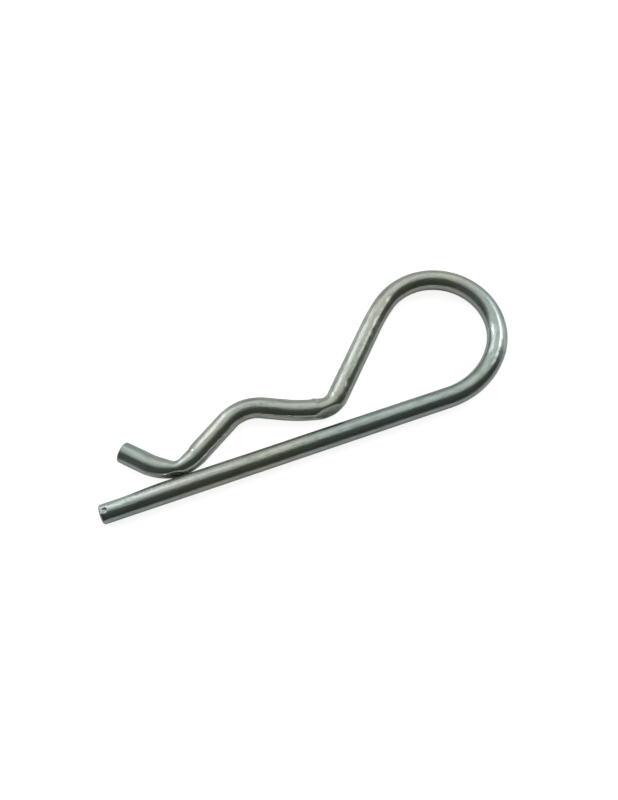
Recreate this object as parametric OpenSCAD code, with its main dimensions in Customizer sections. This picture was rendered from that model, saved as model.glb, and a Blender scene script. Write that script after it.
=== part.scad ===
// Hitch R clip pin: one spring wire bent into a straight leg, an open loop and a bent leg.
// The straight leg goes through the cross hole of a hitch pin. The bent leg springs over the
// outside of that pin and grips it in its saddle.
// The clip lies flat. X runs along the straight leg from its tip to the loop, Y points to the
// bent leg, Z points up, and the origin is below the middle of the clip's box.

/* [Wire] */
// Diameter of the spring wire
wire_d = 4; // [3:0.1:4.6]
// Draw-down of the wire in a bend: the diameter it loses for each unit its outside stretches by
draw_down = 0.1; // [0.06:0.01:0.15]

/* [Straight leg] */
// Length of the straight leg, from its tip to where the loop begins
leg_l = 67.2; // [58:0.1:80]
// Diameter of the reduced tip, which finds the cross hole
tip_d = 3.7; // [2:0.05:3.9]
// Length of the reduced tip
tip_l = 5; // [2:0.1:10]
// Length of the taper from the reduced tip to the full wire
tip_taper_l = 4.2; // [1:0.1:10]

/* [Loop] */
// Inside radius of the wide bend that leads from the straight leg into the loop
loop_in_r = 13.6; // [12.5:0.1:16]
// Turn of that lead-in bend in degrees
loop_in_turn = 52; // [40:1:60]
// Inside radius of the round part of the loop
loop_r = 9.8; // [8:0.1:11.5]
// Inside radius of the slack bend that leads out of the loop into the bent leg
loop_out_r = 40; // [20:1:60]
// Turn of that lead-out bend in degrees
loop_out_turn = 8; // [4:1:12]

/* [Bent leg] */
// Slope of the arm that runs from the loop down to the throat, in degrees
arm_slope = 46; // [40:1:55]
// Clear gap between the two legs at the throat
throat_gap = 1.8; // [0.8:0.1:3]
// Inside radius of the tight bend at the throat
throat_r = 2.2; // [1.5:0.1:4]
// Slope in degrees at which the tight bend hands over to the slack ramp bend
throat_exit_slope = 11; // [6:1:14]
// Inside radius of the slack bend up the ramp
ramp_r = 26; // [20:1:30]
// Steepest slope of the ramp from the throat up to the saddle, in degrees
ramp_slope = 25; // [24:1:30]
// Clear height under the saddle, from the straight leg to the bent leg
saddle_gap = 6.4; // [5.8:0.1:8]
// Inside radius of the saddle's crown, which bears on the hitch pin
saddle_r = 5.5; // [4:0.1:7]
// Slope of the fall from the saddle to the nose, in degrees
fall_slope = 31; // [28:1:40]
// Clear gap between the two legs at the nose, where the spring all but closes
nose_gap = 0.1; // [0.1:0.1:1]
// Inside radius of the bend at the nose
nose_r = 5.6; // [3:0.1:7]
// Slope of the lead-in lip beyond the nose, in degrees
lip_slope = 45; // [30:1:60]
// Straight length of the lip
lip_l = 5.3; // [3:0.1:9]

/* [Ends] */
// Width of the small chamfer round each cropped end of the wire
end_chamfer = 0.25; // [0.1:0.05:0.5]

/* [Hidden] */
$fn = 96;
steel = [0.74, 0.75, 0.74];
wire_r = wire_d / 2;
tip_r = tip_d / 2;
// Length by which each step of the wire reaches into the next one
lap = 0.01;

// Radii of the wire's centreline in each bend
loop_in_mid_r = loop_in_r + wire_r;
loop_mid_r = loop_r + wire_r;
loop_out_mid_r = loop_out_r + wire_r;
throat_mid_r = throat_r + wire_r;
ramp_mid_r = ramp_r + wire_r;
saddle_mid_r = saddle_r + wire_r;
nose_mid_r = nose_r + wire_r;

// Radius of the wire's section in a bend of a given centreline radius
function bent_r(r) = wire_r * (1 - draw_down * wire_r / r);

// The loop turns the wire half round and on until it runs back down the arm
loop_turn = 180 + arm_slope - loop_in_turn - loop_out_turn;

// Rise of a bend between two slopes of its centreline
function bend_rise(r, from, to) = r * (cos(from) - cos(to));

// Heights of the centreline over the straight leg's
loop_exit_y = bend_rise(loop_in_mid_r, 0, loop_in_turn)
            + bend_rise(loop_mid_r, loop_in_turn, loop_in_turn + loop_turn)
            + bend_rise(loop_out_mid_r, loop_in_turn + loop_turn, 180 + arm_slope);
throat_y = wire_d + throat_gap;
saddle_y = wire_d + saddle_gap;
nose_y = wire_d + nose_gap;

// Straight stretches, each as long as the heights at its two ends ask for
arm_l = (loop_exit_y - bend_rise(throat_mid_r, 0, arm_slope) - throat_y) / sin(arm_slope);
ramp_top_y = throat_y + bend_rise(throat_mid_r, 0, throat_exit_slope)
           + bend_rise(ramp_mid_r, throat_exit_slope, ramp_slope);
ramp_l = (saddle_y - bend_rise(saddle_mid_r, 0, ramp_slope) - ramp_top_y) / sin(ramp_slope);
fall_l = (saddle_y - nose_y - bend_rise(saddle_mid_r + nose_mid_r, 0, fall_slope)) / sin(fall_slope);

// The wire step by step behind the straight leg: a straight is [length], and a bend is
// [centreline radius, turn], where a turn towards the left is positive
STEPS = [
    [loop_in_mid_r, loop_in_turn],
    [loop_mid_r, loop_turn],
    [loop_out_mid_r, loop_out_turn],
    [arm_l],
    [throat_mid_r, -arm_slope - throat_exit_slope],
    [ramp_mid_r, throat_exit_slope - ramp_slope],
    [ramp_l],
    [saddle_mid_r, ramp_slope + fall_slope],
    [fall_l],
    [nose_mid_r, -fall_slope - lip_slope]
];

// Where the wire is when a step starts, as [x, y, heading], with the loop beginning at x = 0
function step_start(i) = i == 0 ? [0, 0, 0] : step_end(step_start(i - 1), STEPS[i - 1]);
function step_end(at, step) = len(step) == 1
    ? [at.x + step[0] * cos(at.z), at.y + step[0] * sin(at.z), at.z]
    : bend_end(at, sign(step[1]) * step[0], step[1]);
function bend_end(at, r, turn) = [
    at.x + r * (sin(at.z + turn) - sin(at.z)),
    at.y + r * (cos(at.z) - cos(at.z + turn)),
    at.z + turn
];

// Reach of the clip, which puts the origin below the middle of its box
lip_start = step_start(len(STEPS));
lip_reach = lip_start.x + lip_l * cos(lip_start.z) - wire_r * abs(sin(lip_start.z));
x_min = min(-leg_l, lip_reach);
loop_reach = loop_mid_r + bent_r(loop_mid_r);
x_max = (loop_in_mid_r - loop_mid_r) * sin(loop_in_turn) + loop_reach;
y_min = -wire_r;
y_max = loop_in_mid_r - (loop_in_mid_r - loop_mid_r) * cos(loop_in_turn) + loop_reach;

// Lays a revolved solid along +X, with the start of its section on the -Y side
module along_x() {
    rotate([0, 90, 0])
        rotate([0, 0, -90])
            children();
}

// Straight wire along +X
module straight(length) {
    along_x()
        cylinder(d = wire_d, h = length + lap);
}

// Moves what follows to the far end of a step, heading the way the wire does there
module after(step) {
    if (len(step) == 1) {
        translate([step[0], 0, 0])
            children();
    } else {
        pivot = [0, sign(step[1]) * step[0], 0];
        translate(pivot)
            rotate([0, 0, step[1]])
                translate(-pivot)
                    children();
    }
}

// Bent wire that sets out along +X and turns about a pivot beside it, its section starting on
// the -Y side as well, so that the facets of all the steps line up
module bend(r, turn) {
    side = sign(turn);
    translate([0, side * r, 0])
        rotate([0, 0, -90 * side])
            rotate_extrude(angle = turn + side * lap / r * 180 / PI)
                translate([r, 0])
                    rotate(90 - 90 * side)
                        circle(r = bent_r(r));
}

// The wire from one step to its end, each step set on the end of the one before
module wire_from(i) {
    if (i == len(STEPS)) {
        lip();
    } else {
        if (len(STEPS[i]) == 1)
            straight(STEPS[i][0]);
        else
            bend(STEPS[i][0], STEPS[i][1]);
        after(STEPS[i])
            wire_from(i + 1);
    }
}

// Straight leg with its reduced tip and taper, turned about its own axis
module straight_leg() {
    translate([-leg_l, 0, 0])
        along_x()
            rotate_extrude()
                polygon([
                    [0, 0],
                    [tip_r - end_chamfer, 0],
                    [tip_r, end_chamfer],
                    [tip_r, tip_l],
                    [wire_r, tip_l + tip_taper_l],
                    [wire_r, leg_l + lap],
                    [0, leg_l + lap]
                ]);
}

// Lip of the bent leg, cropped square with a small chamfer
module lip() {
    along_x()
        rotate_extrude()
            polygon([
                [0, 0],
                [wire_r, 0],
                [wire_r, lip_l - end_chamfer],
                [wire_r - end_chamfer, lip_l],
                [0, lip_l]
            ]);
}

// The whole clip as one bent wire, lying on z = 0
module r_clip() {
    color(steel)
        translate([-(x_min + x_max) / 2, -(y_min + y_max) / 2, wire_r]) {
            straight_leg();
            wire_from(0);
        }
}

r_clip();
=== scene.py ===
"""A hitch R clip pin, bent from one bright zinc-plated spring wire, lying flat on a pale floor."""

from math import cos, exp, pi, radians, sin

import bpy
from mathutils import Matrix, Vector
from mathutils.kdtree import KDTree


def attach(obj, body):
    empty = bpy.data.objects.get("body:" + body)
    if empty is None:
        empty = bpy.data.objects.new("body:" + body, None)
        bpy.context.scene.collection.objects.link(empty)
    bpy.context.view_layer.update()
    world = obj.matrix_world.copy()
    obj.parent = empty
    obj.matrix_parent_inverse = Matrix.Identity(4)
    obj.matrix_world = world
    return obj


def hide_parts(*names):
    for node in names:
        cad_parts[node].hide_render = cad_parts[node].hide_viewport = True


MM = 0.001

# Sizes of the wire in millimetres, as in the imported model
WIRE_R = 2.0
TIP_R = 1.85
END_CHAMFER = 0.25
DRAW_DOWN = 0.1
LEG_START = Vector((-41.980, -12.5133, WIRE_R))

# The wire in the order it is bent: (name, straight length) or (name, centreline radius, turn),
# where a turn towards the left is positive
STEPS = [
    ("leg", 67.2),
    ("loop lead-in", 15.6, 52),
    ("loop", 11.8, 166),
    ("loop lead-out", 42.0, 8),
    ("arm", 16.0644),
    ("throat", 4.2, -57),
    ("ramp bend", 28.0, -14),
    ("ramp", 4.04904),
    ("saddle", 7.5, 56),
    ("fall", 8.0445),
    ("nose", 7.6, -76),
    ("lip", 5.3),
]

# The tip is reduced from the bent leg's side only, and it grows to the full wire over this stretch
TIP_EASE = (3.0, 12.0)
# A bend's section eases in over this length, and out again
BEND_EASE_L = 1.2
# The lip's chamfer in two steps: how far each one goes along the wire, and how far in its edge lies
LIP_CHAMFER = ((0.13, 0.1), (0.12, END_CHAMFER))
# The hollow of a cropped end, from its rim to its middle: (width of each ring, how much it sinks)
HOLLOW = ((0.22, 0.05), (0.5, 0.05), (0.6, -0.03))

# Flats that the bending tools left above and below the throat and under the nose, as (place,
# direction it faces, depth, reach)
FLATS = [
    (Vector((2.8, -7.98, 3.05)), Vector((0.10, -0.85, 0.52)), 0.16, 3.6),
    (Vector((-27.8, -10.15, 2.6)), Vector((-0.15, -0.94, 0.30)), 0.10, 3.0),
    (Vector((2.0, -5.7, 3.72)), Vector((0.06, 0.47, 0.88)), 0.07, 1.3),
]
# How far each side of a flat's edge is rounded over, and the outer share of its reach over which
# it fades out
FLAT_EDGE = 0.06
FLAT_FADE = 0.4
# A flat leaves alone the skin that faces another way, by the cosine between the two
SAME_WAY = 0.3
# Nicks and burrs as (place, radius, height), where a nick's height is below zero: at the throat, at
# the tip, and here and there along the leg, the arm and the lip
NICKS = [
    (Vector((0.9, -4.75, 2.9)), 0.35, 0.18),
    (Vector((1.3, -5.3, 3.55)), 0.28, 0.10),
    (Vector((1.85, -5.55, 3.70)), 0.25, -0.10),
    (Vector((-41.42, -12.95, 3.75)), 0.26, 0.14),
    (Vector((-41.10, -12.58, 3.82)), 0.34, -0.42),
    (Vector((-40.80, -12.25, 3.84)), 0.24, -0.10),
    (Vector((4.82, -10.94, 3.23)), 0.45, -0.05),
    (Vector((16.1, 4.45, 3.8)), 0.45, -0.05),
    (Vector((8.1, -3.85, 3.8)), 0.45, -0.05),
    (Vector((-37.6, -0.1, 3.9)), 0.35, 0.04),
]
# Within how many of its radii a nick or a burr has faded out
NICK_REACH = 3
# Where the nose was squeezed in its bending die, over its whole bend and again in its corner, as
# (start and end along the wire, share by which its middle is thinner)
SQUEEZED_NOSE = [(167.0, 177.0, 0.13), (170.2, 174.6, 0.095)]
# The squeeze draws the wire towards a line this far beyond the outside of its bend
SET_OVER = 0.6

# How finely the wire is modelled: points round it, and the length of one ring in millimetres, which
# is short at the tip and in the tightest bends and long on the plain leg
ROUND = 96
RING_L = 0.55
FINE_RING_L = 0.22
PLAIN_RING_L = 1.6 * RING_L
FINE_TIP_L = 4
FINE_STEPS = ("throat", "ramp bend", "nose")
FEWEST_RINGS = 6


# ---------- the path of the wire ----------

def bent_radius(mid_radius):
    """Radius of the wire's section in a bend, where it is drawn down a little."""
    return WIRE_R * (1 - DRAW_DOWN * WIRE_R / mid_radius)


def heading_vector(heading):
    """The way the wire runs at a heading in degrees."""
    return Vector((cos(radians(heading)), sin(radians(heading)), 0))


def left_of(heading):
    """The way to the left of the wire at a heading in degrees."""
    return Vector((-sin(radians(heading)), cos(radians(heading)), 0))


def step_end(place, heading, step):
    """Place and heading at the far end of a straight or a bend."""
    if len(step) == 2:
        return place + heading_vector(heading) * step[1], heading
    _, mid_radius, turn = step
    side = 1 if turn > 0 else -1
    pivot = place + left_of(heading) * side * mid_radius
    return pivot - left_of(heading + turn) * side * mid_radius, heading + turn


def path_of_wire():
    """Where each step of the wire starts: {name: (place, heading)}, in millimetres."""
    starts = {}
    place, heading = LEG_START.copy(), 0.0
    for step in STEPS:
        starts[step[0]] = (place.copy(), heading)
        place, heading = step_end(place, heading, step)
    starts["end"] = (place, heading)
    return starts


def dense_path(spacing=0.05):
    """Points close together along the centreline: (place, heading, length from the tip)."""
    points = []
    place, heading, along = LEG_START.copy(), 0.0, 0.0
    for step in STEPS:
        is_straight = len(step) == 2
        length = step[1] if is_straight else step[1] * abs(radians(step[2]))
        count = max(1, round(length / spacing))
        for i in range(count):
            part = i / count
            # the last value of a step is its length or its turn, and a cut step has a share of it
            here, turned = step_end(place, heading, (*step[:-1], step[-1] * part))
            points.append((here, turned, along + length * part))
        place, heading = step_end(place, heading, step)
        along += length
    points.append((place, heading, along))
    return points


# ---------- modelling ----------

def deselect_all():
    bpy.ops.object.select_all(action="DESELECT")


def make_active(obj):
    deselect_all()
    obj.select_set(True)
    bpy.context.view_layer.objects.active = obj


def carry_on(move):
    """Extrudes the open end of the wire and moves the new end face."""
    bpy.ops.mesh.extrude_region_move(TRANSFORM_OT_translate={"value": tuple(move * MM)})


def resize_end(place, factor):
    """Makes the end face larger or smaller about a point."""
    bpy.ops.transform.resize(value=(factor, factor, factor), center_override=tuple(place * MM))


def ease_in(part):
    """0 at 0 and below, 1 at 1 and above, and smooth between them."""
    part = min(1.0, max(0.0, part))
    return part * part * (3 - 2 * part)


def leg_ring(along):
    """Centre and radius of the straight leg's ring at a distance from its tip."""
    start, end = TIP_EASE
    radius = TIP_R + (WIRE_R - TIP_R) * ease_in((along - start) / (end - start))
    centre = LEG_START + Vector((along, radius - WIRE_R, 0))
    return centre, radius - max(0, END_CHAMFER - along)


def leg_ring_length(along):
    """Length of the leg's next ring at a distance from its tip."""
    if along < END_CHAMFER:
        return END_CHAMFER / 2
    if along < FINE_TIP_L:
        return FINE_RING_L
    return RING_L if along < TIP_EASE[1] else PLAIN_RING_L


def pull_straight(heading, length, ring_l):
    """Straight wire: the end face is pulled along the heading, ring by ring."""
    count = max(1, round(length / ring_l))
    move = heading_vector(heading) * (length / count)
    for _ in range(count):
        carry_on(move)


def bend_round(place, heading, mid_radius, turn, ring_l, radius_from):
    """Bent wire: each ring is turned about the pivot, and its section eases to the bend's own.

    It starts from the radius of the ring before it and returns that of its last ring.
    """
    side = 1 if turn > 0 else -1
    pivot = (place + left_of(heading) * side * mid_radius) * MM
    length = mid_radius * abs(radians(turn))
    count = max(FEWEST_RINGS, round(length / ring_l))
    part = turn / count
    radius, target = radius_from, bent_radius(mid_radius)
    for i in range(count):
        carry_on(Vector((0, 0, 0)))
        bpy.ops.transform.rotate(
            value=-radians(part), orient_axis="Z", center_override=tuple(pivot))
        here, _ = step_end(place, heading, ("", mid_radius, part * (i + 1)))
        to_nearer_end = min((i + 1) * length / count, (count - 1 - i) * length / count)
        wanted = WIRE_R + (target - WIRE_R) * ease_in(to_nearer_end / BEND_EASE_L)
        resize_end(here, wanted / radius)
        radius = wanted
    return radius


def bend_wire():
    """The whole wire, from its cropped tip through every bend to the end of the lip."""
    deselect_all()
    place, radius = leg_ring(0)
    bpy.ops.mesh.primitive_circle_add(
        vertices=ROUND, radius=radius * MM, fill_type="NGON",
        location=tuple(place * MM), rotation=(0, radians(-90), 0))
    wire = bpy.context.active_object
    wire.name = "spring_wire"
    bpy.ops.object.transform_apply(location=True, rotation=True, scale=True)
    bpy.ops.object.mode_set(mode="EDIT")
    bpy.ops.mesh.select_mode(type="FACE")
    bpy.ops.mesh.select_all(action="SELECT")

    # the straight leg with its chamfer and reduced tip
    leg_l = STEPS[0][1]
    along = 0.0
    while along < leg_l:
        along = min(along + leg_ring_length(along), leg_l)
        before, before_radius = place, radius
        place, radius = leg_ring(along)
        carry_on(place - before)
        resize_end(place, radius / before_radius)

    # every bend and straight behind the leg
    starts = path_of_wire()
    for step in STEPS[1:]:
        place, heading = starts[step[0]]
        ring_l = FINE_RING_L if step[0] in FINE_STEPS else RING_L
        if len(step) == 3:
            radius = bend_round(place, heading, step[1], step[2], ring_l, radius)
        elif step[0] == "lip":
            pull_straight(heading, step[1] - END_CHAMFER, ring_l)
        else:
            pull_straight(heading, step[1], ring_l)

    # the chamfer at the end of the lip, and the hollow of both cropped ends
    end, heading = starts["end"]
    for length, inset in LIP_CHAMFER:
        carry_on(heading_vector(heading) * length)
        wanted = WIRE_R - inset
        resize_end(end, wanted / radius)
        radius = wanted
    dish_end(heading_vector(heading))
    select_face(wire, leg_ring(0)[0])
    dish_end(Vector((-1, 0, 0)))

    bpy.ops.mesh.select_all(action="SELECT")
    bpy.ops.mesh.remove_doubles(threshold=1e-7)
    bpy.ops.mesh.normals_make_consistent(inside=False)
    bpy.ops.object.mode_set(mode="OBJECT")
    return wire


def select_face(wire, centre):
    """Selects the one face that lies round a point."""
    bpy.ops.mesh.select_all(action="DESELECT")
    bpy.ops.object.mode_set(mode="OBJECT")
    for face in wire.data.polygons:
        face.select = (face.center - centre * MM).length < 0.1 * MM
    bpy.ops.object.mode_set(mode="EDIT")


def dish_end(outwards):
    """A cropped end: the cutter left its face a little hollow inside the rim, round a low boss."""
    for width, depth in HOLLOW:
        bpy.ops.mesh.inset(thickness=width * MM)
        bpy.ops.transform.translate(value=tuple(outwards * -depth * MM))
    bpy.ops.mesh.poke()


def lay_straight_coordinates(wire):
    """Stores where each point lies on the wire if it were straight: across it, up, and along it."""
    points = dense_path()
    tree = KDTree(len(points))
    for i, (place, _, _) in enumerate(points):
        tree.insert(place * MM, i)
    tree.balance()
    layer = wire.data.attributes.new("straight_wire", "FLOAT_VECTOR", "POINT")
    for vertex, value in zip(wire.data.vertices, layer.data):
        _, i, _ = tree.find(vertex.co)
        place, heading, along = points[i]
        offset = vertex.co - place * MM
        along = along * MM + offset.dot(heading_vector(heading))
        value.vector = (offset.dot(left_of(heading)), offset.z, along)


def straight_places(wire):
    """The stored coordinates of all points on the straight wire, in millimetres."""
    return [value.vector / MM for value in wire.data.attributes["straight_wire"].data]


def press_flat(wire, place, faces, depth, reach):
    """Presses a small flat into the skin of one stretch of the wire and rounds its edges over."""
    faces = faces.normalized()
    nearest = min(dense_path(), key=lambda point: (point[0] - place).length)[2]
    for vertex, straight in zip(wire.data.vertices, straight_places(wire)):
        offset = vertex.co / MM - place
        over = offset.dot(faces) + depth
        if abs(straight.z - nearest) > 2 * reach or offset.length > reach:
            continue
        turned_away = vertex.normal.dot(faces) < SAME_WAY
        if over < -FLAT_EDGE or turned_away:
            continue
        pressed = over if over > FLAT_EDGE else (over + FLAT_EDGE) ** 2 / (4 * FLAT_EDGE)
        fade = ease_in((reach - offset.length) / (FLAT_FADE * reach))
        vertex.co -= faces * pressed * fade * MM


def nick(wire, place, radius, height):
    """Raises a burr or sinks a nick at one spot of the skin."""
    for vertex in wire.data.vertices:
        distance = (vertex.co / MM - place).length
        if distance < NICK_REACH * radius:
            vertex.co += vertex.normal * height * exp(-(distance / radius) ** 2) * MM


def squeeze_bend(wire, start, end, share):
    """Thins a bend that turns right, mostly from its inside, where the die squeezed it."""
    middle, half = (start + end) / 2, (end - start) / 2
    points = dense_path()
    for vertex, (across, _, along) in zip(wire.data.vertices, straight_places(wire)):
        if abs(along - middle) < half:
            amount = share * ease_in(1 - abs(along - middle) / half)
            heading = min(points, key=lambda point: abs(point[2] - along))[1]
            vertex.co += left_of(heading) * (WIRE_R + SET_OVER - across) * amount * MM


def mark_wire(wire):
    """The marks of the bending and cropping tools."""
    for squeeze in SQUEEZED_NOSE:
        squeeze_bend(wire, *squeeze)
    for flat in FLATS:
        press_flat(wire, *flat)
    for spot in NICKS:
        nick(wire, *spot)
    wire.data.update()


# ---------- materials ----------

def new_material(name):
    """A material with its nodes, its links and its Principled BSDF."""
    material = bpy.data.materials.new(name)
    material.use_nodes = True
    nodes = material.node_tree.nodes
    return material, nodes, material.node_tree.links, nodes["Principled BSDF"]


def straight_wire_space(nodes):
    """Coordinates on the straight wire in metres: across it in X, up in Y, along it in Z."""
    space = nodes.new("ShaderNodeAttribute")
    space.attribute_name = "straight_wire"
    return space.outputs["Vector"]


def new_group(name, inputs, outputs):
    """A shader node group with named sockets: {name: (kind, default)} in, {name: kind} out."""
    group = bpy.data.node_groups.new(name, "ShaderNodeTree")
    kinds = {"vector": "NodeSocketVector", "value": "NodeSocketFloat", "colour": "NodeSocketColor"}
    for label, (kind, default) in inputs.items():
        socket = group.interface.new_socket(label, in_out="INPUT", socket_type=kinds[kind])
        if default is not None:
            socket.default_value = default
    for label, kind in outputs.items():
        group.interface.new_socket(label, in_out="OUTPUT", socket_type=kinds[kind])
    nodes = group.nodes
    return group, nodes, group.links, nodes.new("NodeGroupInput"), nodes.new("NodeGroupOutput")


def place_group(nodes, group, values):
    """A node that uses a group, with its own values on some sockets."""
    node = nodes.new("ShaderNodeGroup")
    node.node_tree = group
    for label, value in values.items():
        node.inputs[label].default_value = value
    return node


def add_noise(nodes, links, vector, stretch, scale, detail, roughness=0.6):
    """Noise on stretched coordinates, from 0 to 1."""
    mapping = nodes.new("ShaderNodeMapping")
    mapping.inputs["Scale"].default_value = stretch
    noise = nodes.new("ShaderNodeTexNoise")
    noise.inputs["Scale"].default_value = scale
    noise.inputs["Detail"].default_value = detail
    noise.inputs["Roughness"].default_value = roughness
    links.new(vector, mapping.inputs["Vector"])
    links.new(mapping.outputs["Vector"], noise.inputs["Vector"])
    return noise.outputs["Fac"]


def calculate(nodes, links, operation, a, b):
    """A Math node whose inputs are sockets or numbers."""
    node = nodes.new("ShaderNodeMath")
    node.operation = operation
    for socket, value in zip(node.inputs, (a, b)):
        if isinstance(value, (int, float)):
            socket.default_value = value
        else:
            links.new(value, socket)
    return node.outputs["Value"]


def clear_between(nodes, links, value, low, high):
    """0 below low, 1 above high, and smooth between them."""
    node = nodes.new("ShaderNodeMapRange")
    node.interpolation_type = "SMOOTHSTEP"
    node.inputs["From Min"].default_value = low
    node.inputs["From Max"].default_value = high
    links.new(value, node.inputs["Value"])
    return node.outputs["Result"]


def drawn_grain_group():
    """Skin of drawn and plated wire: long die lines, fine crystal grain and a slow waviness."""
    group, nodes, links, given, out = new_group(
        "drawn_grain",
        {"Vector": ("vector", None), "Die Lines": ("value", 0.5), "Grain": ("value", 0.5),
         "Waves": ("value", 0.5)},
        {"Height": "value", "Grain Mask": "value"})
    vector = given.outputs["Vector"]
    lines = add_noise(nodes, links, vector, stretch=(1, 1, 0.03), scale=5200, detail=3)
    grain = add_noise(
        nodes, links, vector, stretch=(1, 1, 0.5), scale=3000, detail=5, roughness=0.72)
    waves = add_noise(nodes, links, vector, stretch=(1, 1, 0.35), scale=420, detail=1)
    total = calculate(nodes, links, "MULTIPLY", lines, given.outputs["Die Lines"])
    for height, amount in ((grain, "Grain"), (waves, "Waves")):
        part = calculate(nodes, links, "MULTIPLY", height, given.outputs[amount])
        total = calculate(nodes, links, "ADD", total, part)
    links.new(total, out.inputs["Height"])
    links.new(grain, out.inputs["Grain Mask"])
    return group


def zinc_tone_and_painted_tint_group():
    """Colour of the bright plate, with a painted tint of the reflected room light: it drifts
    between a cool and a warm grey, with duller clouds.
    """
    group, nodes, links, given, out = new_group(
        "zinc_tone_and_painted_tint",
        {"Vector": ("vector", None),
         "Cool": ("colour", (0.565, 0.635, 0.64, 1)),
         "Warm": ("colour", (0.66, 0.655, 0.60, 1)),
         "Dull": ("colour", (0.42, 0.44, 0.42, 1)),
         "Painted Tint Share": ("value", 0.5), "Clouds": ("value", 0.5)},
        {"Color": "colour", "Cloud Mask": "value"})
    vector = given.outputs["Vector"]
    # the given share of the warm tone is a painted reflection tint; patches shift it up and down by
    # at most half
    patches = add_noise(nodes, links, vector, stretch=(1, 1, 0.3), scale=260, detail=2)
    patches = calculate(nodes, links, "SUBTRACT", patches, 0.5)
    drift = calculate(nodes, links, "ADD", given.outputs["Painted Tint Share"], patches)
    drift = clear_between(nodes, links, drift, low=0.1, high=0.9)
    clouds = add_noise(
        nodes, links, vector, stretch=(1, 1, 0.25), scale=1300, detail=6, roughness=0.68)
    clouds = clear_between(nodes, links, clouds, low=0.42, high=0.7)
    tone = nodes.new("ShaderNodeMix")
    tone.data_type = "RGBA"
    links.new(drift, tone.inputs["Factor"])
    links.new(given.outputs["Cool"], tone.inputs["A"])
    links.new(given.outputs["Warm"], tone.inputs["B"])
    dulled = nodes.new("ShaderNodeMix")
    dulled.data_type = "RGBA"
    dullness = calculate(nodes, links, "MULTIPLY", clouds, given.outputs["Clouds"])
    links.new(dullness, dulled.inputs["Factor"])
    links.new(tone.outputs["Result"], dulled.inputs["A"])
    links.new(given.outputs["Dull"], dulled.inputs["B"])
    links.new(dulled.outputs["Result"], out.inputs["Color"])
    links.new(clouds, out.inputs["Cloud Mask"])
    return group


# Share of the warm tone along the wire, from the tip at 0 to the end of the lip at 1
# This share is a painted reflection tint: it stands in for the cool or warm room light that each
# stretch reflects
PAINTED_TINT_SHARE = [
    (0, 0.2), (0.04, 0.35), (0.08, 0.7), (0.19, 0.8),  # the straight leg, cool at its tip
    (0.24, 0.15), (0.5, 0.2),  # the leg's far half
    (0.54, 0.7), (0.9, 0.65),  # the loop, the arm and the saddle
    (0.94, 0.4), (1, 0.2),  # the nose and the lip
]


def set_stops(ramp, stops):
    """Sets a colour ramp from a list of (position, colour)."""
    elements = ramp.color_ramp.elements
    elements.remove(elements[1])
    for number, (position, colour) in enumerate(stops):
        stop = elements[0] if number == 0 else elements.new(position)
        stop.position = position
        stop.color = (*colour, 1)


def bright_zinc(drawn_grain, zinc_tone_and_painted_tint):
    """Bright zinc plate on drawn wire, with a painted reflection tint along it."""
    material, nodes, links, shader = new_material("bright_zinc")
    shader.inputs["Metallic"].default_value = 1.0
    vector = straight_wire_space(nodes)
    tone = place_group(nodes, zinc_tone_and_painted_tint, {"Clouds": 0.8})
    skin = place_group(nodes, drawn_grain, {"Die Lines": 0.9, "Grain": 1.3, "Waves": 1.8})
    links.new(vector, tone.inputs["Vector"])
    links.new(vector, skin.inputs["Vector"])

    # the share of the warm tone, a painted reflection tint, goes by the length from the tip
    split = nodes.new("ShaderNodeSeparateXYZ")
    links.new(vector, split.inputs["Vector"])
    wire_l = dense_path()[-1][2] * MM
    length = calculate(nodes, links, "DIVIDE", split.outputs["Z"], wire_l)
    warm = nodes.new("ShaderNodeValToRGB")
    set_stops(warm, [(at, (share, share, share)) for at, share in PAINTED_TINT_SHARE])
    links.new(length, warm.inputs["Fac"])
    links.new(warm.outputs["Color"], tone.inputs["Painted Tint Share"])
    links.new(tone.outputs["Color"], shader.inputs["Base Color"])

    # the plate is roughest where coarse grain lies in a dull cloud
    rough = nodes.new("ShaderNodeMapRange")
    rough.inputs["To Min"].default_value = 0.08
    rough.inputs["To Max"].default_value = 0.28
    both = calculate(
        nodes, links, "MULTIPLY", tone.outputs["Cloud Mask"], skin.outputs["Grain Mask"])
    links.new(both, rough.inputs["Value"])
    links.new(rough.outputs["Result"], shader.inputs["Roughness"])

    bump = nodes.new("ShaderNodeBump")
    bump.inputs["Strength"].default_value = 0.8
    bump.inputs["Distance"].default_value = 0.03 * MM
    links.new(skin.outputs["Height"], bump.inputs["Height"])
    links.new(bump.outputs["Normal"], shader.inputs["Normal"])
    return material


# ---------- studio ----------

def look_at(obj, target):
    """Turns a camera or a lamp to face a point."""
    obj.rotation_euler = (target - obj.location).to_track_quat("-Z", "Y").to_euler()


# Where the camera stands and what it looks at, in millimetres
CAMERA_PLACE = Vector((-18.64, -57.29, 141.36))
CAMERA_TARGET = Vector((0.176, -4.234, 2.0))


def set_camera():
    """The photograph's view: from the straight leg's side, steeply down."""
    data = bpy.data.cameras.new("camera")
    data.lens = 36
    data.sensor_width = 36
    camera = bpy.data.objects.new("camera", data)
    bpy.context.scene.collection.objects.link(camera)
    camera.location = CAMERA_PLACE * MM
    look_at(camera, CAMERA_TARGET * MM)
    bpy.context.view_layer.update()
    bpy.context.scene.camera = camera


def direction(azimuth, elevation):
    """The way to a point at an azimuth and an elevation in degrees."""
    a, e = radians(azimuth), radians(elevation)
    return Vector((cos(a) * cos(e), sin(a) * cos(e), sin(e)))


def softbox(name, azimuth, elevation, size, power):
    """A rectangular lamp that faces the clip."""
    data = bpy.data.lights.new(name, "AREA")
    data.shape = "RECTANGLE"
    data.size, data.size_y = size
    data.energy = power
    lamp = bpy.data.objects.new(name, data)
    bpy.context.scene.collection.objects.link(lamp)
    lamp.location = direction(azimuth, elevation) * LAMP_DISTANCE
    look_at(lamp, Vector((0, 0, 0)))
    lamp.visible_camera = False


# Ways across the room as the camera sees it: to its back, and to its right
ROOM_BACK = 78
ROOM_RIGHT = -12
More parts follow.
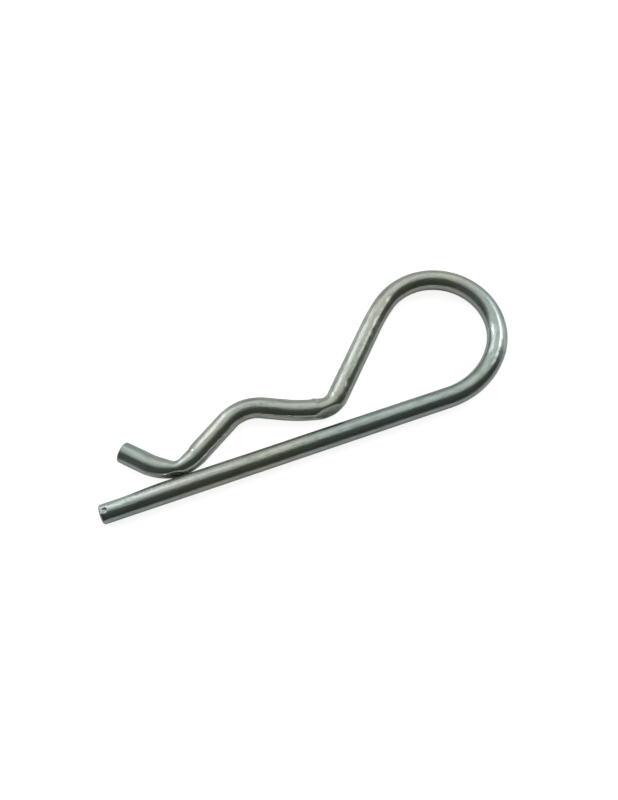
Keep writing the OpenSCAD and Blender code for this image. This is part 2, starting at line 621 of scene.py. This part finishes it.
# Light of the room over the climb from the horizon behind the clip, past the zenith at 90 degrees,
# to the horizon on the viewer's side
ROOM_LIGHT = [
    (0, (0.33, 0.35, 0.33)),
    (20, (0.45, 0.49, 0.46)),
    (48, (0.80, 0.84, 0.79)),
    (62, (0.63, 0.67, 0.62)),
    (84, (0.56, 0.59, 0.53)),
    (97, (0.20, 0.22, 0.19)),
    (108, (0.085, 0.095, 0.08)),
    (130, (0.06, 0.068, 0.056)),
    (180, (0.035, 0.04, 0.033)),
]
# The room's sides begin this far to the left or right, as the sine of the angle
SIDE_START = 0.25
# How much further round the dark side reaches there; on the right it does so only high up
SIDE_REACH = 0.5
HIGH_RIGHT = 1.3
# Light that the left side has over the rest
LEFT_LIGHT = (0.075, 0.085, 0.075)

LAMP_DISTANCE = 0.9
# Lamps as (name, azimuth, elevation, (width, height), power)
LAMPS = [
    ("right_softbox", 16, 47, (0.34, 0.15), 0.44),
    ("left_softbox", 106, 34, (0.10, 0.84), 0.27),
    ("back_spot", 127.5, 31, (0.08, 0.12), 0.38),
]


def share_of(nodes, links, vector, way):
    """How far a direction points a given way, from -1 to 1."""
    node = nodes.new("ShaderNodeVectorMath")
    node.operation = "DOT_PRODUCT"
    node.inputs[1].default_value = way
    links.new(vector, node.inputs[0])
    return node.outputs["Value"]


def beyond(nodes, links, value, start):
    """What a value has over its start, and 0 below it."""
    over = calculate(nodes, links, "SUBTRACT", value, start)
    return calculate(nodes, links, "MAXIMUM", over, 0)


def studio_room():
    """A room that is light behind the clip and dark on the viewer's side, white to the camera."""
    world = bpy.data.worlds.new("studio_room")
    bpy.context.scene.world = world
    world.use_nodes = True
    nodes, links = world.node_tree.nodes, world.node_tree.links
    vector = nodes.new("ShaderNodeTexCoord").outputs["Generated"]
    split = nodes.new("ShaderNodeSeparateXYZ")
    links.new(vector, split.inputs["Vector"])
    height = split.outputs["Z"]
    backward = share_of(nodes, links, vector, direction(ROOM_BACK, 0))
    rightward = share_of(nodes, links, vector, direction(ROOM_RIGHT, 0))
    leftward = calculate(nodes, links, "MULTIPLY", rightward, -1)

    # the dark side reaches further round on the left, and high up on the right
    high_right = calculate(nodes, links, "MULTIPLY", rightward, height)
    high_right = calculate(nodes, links, "MULTIPLY", high_right, HIGH_RIGHT)
    sideways = calculate(nodes, links, "MAXIMUM", leftward, high_right)
    reach = beyond(nodes, links, sideways, SIDE_START)
    reach = calculate(nodes, links, "MULTIPLY", reach, SIDE_REACH)
    shifted = calculate(nodes, links, "SUBTRACT", backward, reach)
    climb = calculate(nodes, links, "ARCTAN2", height, shifted)
    ramp = nodes.new("ShaderNodeValToRGB")
    set_stops(ramp, [(angle / 180, colour) for angle, colour in ROOM_LIGHT])
    links.new(calculate(nodes, links, "DIVIDE", climb, pi), ramp.inputs["Fac"])

    # the left side is a little lighter
    lifted = nodes.new("ShaderNodeMix")
    lifted.data_type = "RGBA"
    lifted.blend_type = "ADD"
    lifted.inputs["B"].default_value = (*LEFT_LIGHT, 1)
    links.new(beyond(nodes, links, leftward, SIDE_START), lifted.inputs["Factor"])
    links.new(ramp.outputs["Color"], lifted.inputs["A"])

    # the camera sees white instead
    rays = nodes.new("ShaderNodeLightPath")
    seen = nodes.new("ShaderNodeMix")
    seen.data_type = "RGBA"
    seen.inputs["B"].default_value = (1, 1, 1, 1)
    links.new(rays.outputs["Is Camera Ray"], seen.inputs["Factor"])
    links.new(lifted.outputs["Result"], seen.inputs["A"])
    links.new(seen.outputs["Result"], nodes["Background"].inputs["Color"])


def pale_floor():
    """The floor the clip lies on, white to the camera outside the clip's shadow."""
    deselect_all()
    bpy.ops.mesh.primitive_plane_add(size=3.0, location=(0, 0, 0))
    floor = bpy.context.active_object
    floor.name = "floor"
    material, nodes, links, shader = new_material("pale_floor")
    shader.inputs["Base Color"].default_value = (0.95, 0.95, 0.95, 1)
    shader.inputs["Roughness"].default_value = 0.1
    shader.inputs["Emission Color"].default_value = (1, 1, 1, 1)
    shader.inputs["Emission Strength"].default_value = 0.05

    # the clip mirrors that glossy floor, and the camera sees a matt one with a glow of its own
    matt = nodes.new("ShaderNodeBsdfDiffuse")
    matt.inputs["Color"].default_value = (0.8, 0.8, 0.8, 1)
    glow = nodes.new("ShaderNodeEmission")
    glow.inputs["Strength"].default_value = 0.85
    lit = nodes.new("ShaderNodeAddShader")
    links.new(matt.outputs["BSDF"], lit.inputs[0])
    links.new(glow.outputs["Emission"], lit.inputs[1])
    rays = nodes.new("ShaderNodeLightPath")
    either = nodes.new("ShaderNodeMixShader")
    links.new(rays.outputs["Is Camera Ray"], either.inputs[0])
    links.new(shader.outputs["BSDF"], either.inputs[1])
    links.new(lit.outputs["Shader"], either.inputs[2])
    links.new(either.outputs["Shader"], nodes["Material Output"].inputs["Surface"])
    floor.data.materials.append(material)


def light_studio():
    """The room, its lamps and its floor."""
    studio_room()
    for lamp in LAMPS:
        softbox(*lamp)
    pale_floor()
    bpy.context.scene.view_settings.view_transform = "Standard"


# ---------- the clip ----------

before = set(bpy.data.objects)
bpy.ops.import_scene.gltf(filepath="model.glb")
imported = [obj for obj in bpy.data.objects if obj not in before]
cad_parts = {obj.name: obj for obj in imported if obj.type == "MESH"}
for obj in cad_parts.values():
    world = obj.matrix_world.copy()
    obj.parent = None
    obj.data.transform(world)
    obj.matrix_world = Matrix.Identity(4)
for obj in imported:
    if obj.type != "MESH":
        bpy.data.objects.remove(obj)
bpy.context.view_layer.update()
set_camera()

spring_wire = bend_wire()
lay_straight_coordinates(spring_wire)
mark_wire(spring_wire)
spring_wire.data.materials.append(bright_zinc(drawn_grain_group(), zinc_tone_and_painted_tint_group()))
make_active(spring_wire)
bpy.ops.object.shade_smooth_by_angle(angle=radians(35))
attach(spring_wire, "root")
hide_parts("r_clip")

light_studio()
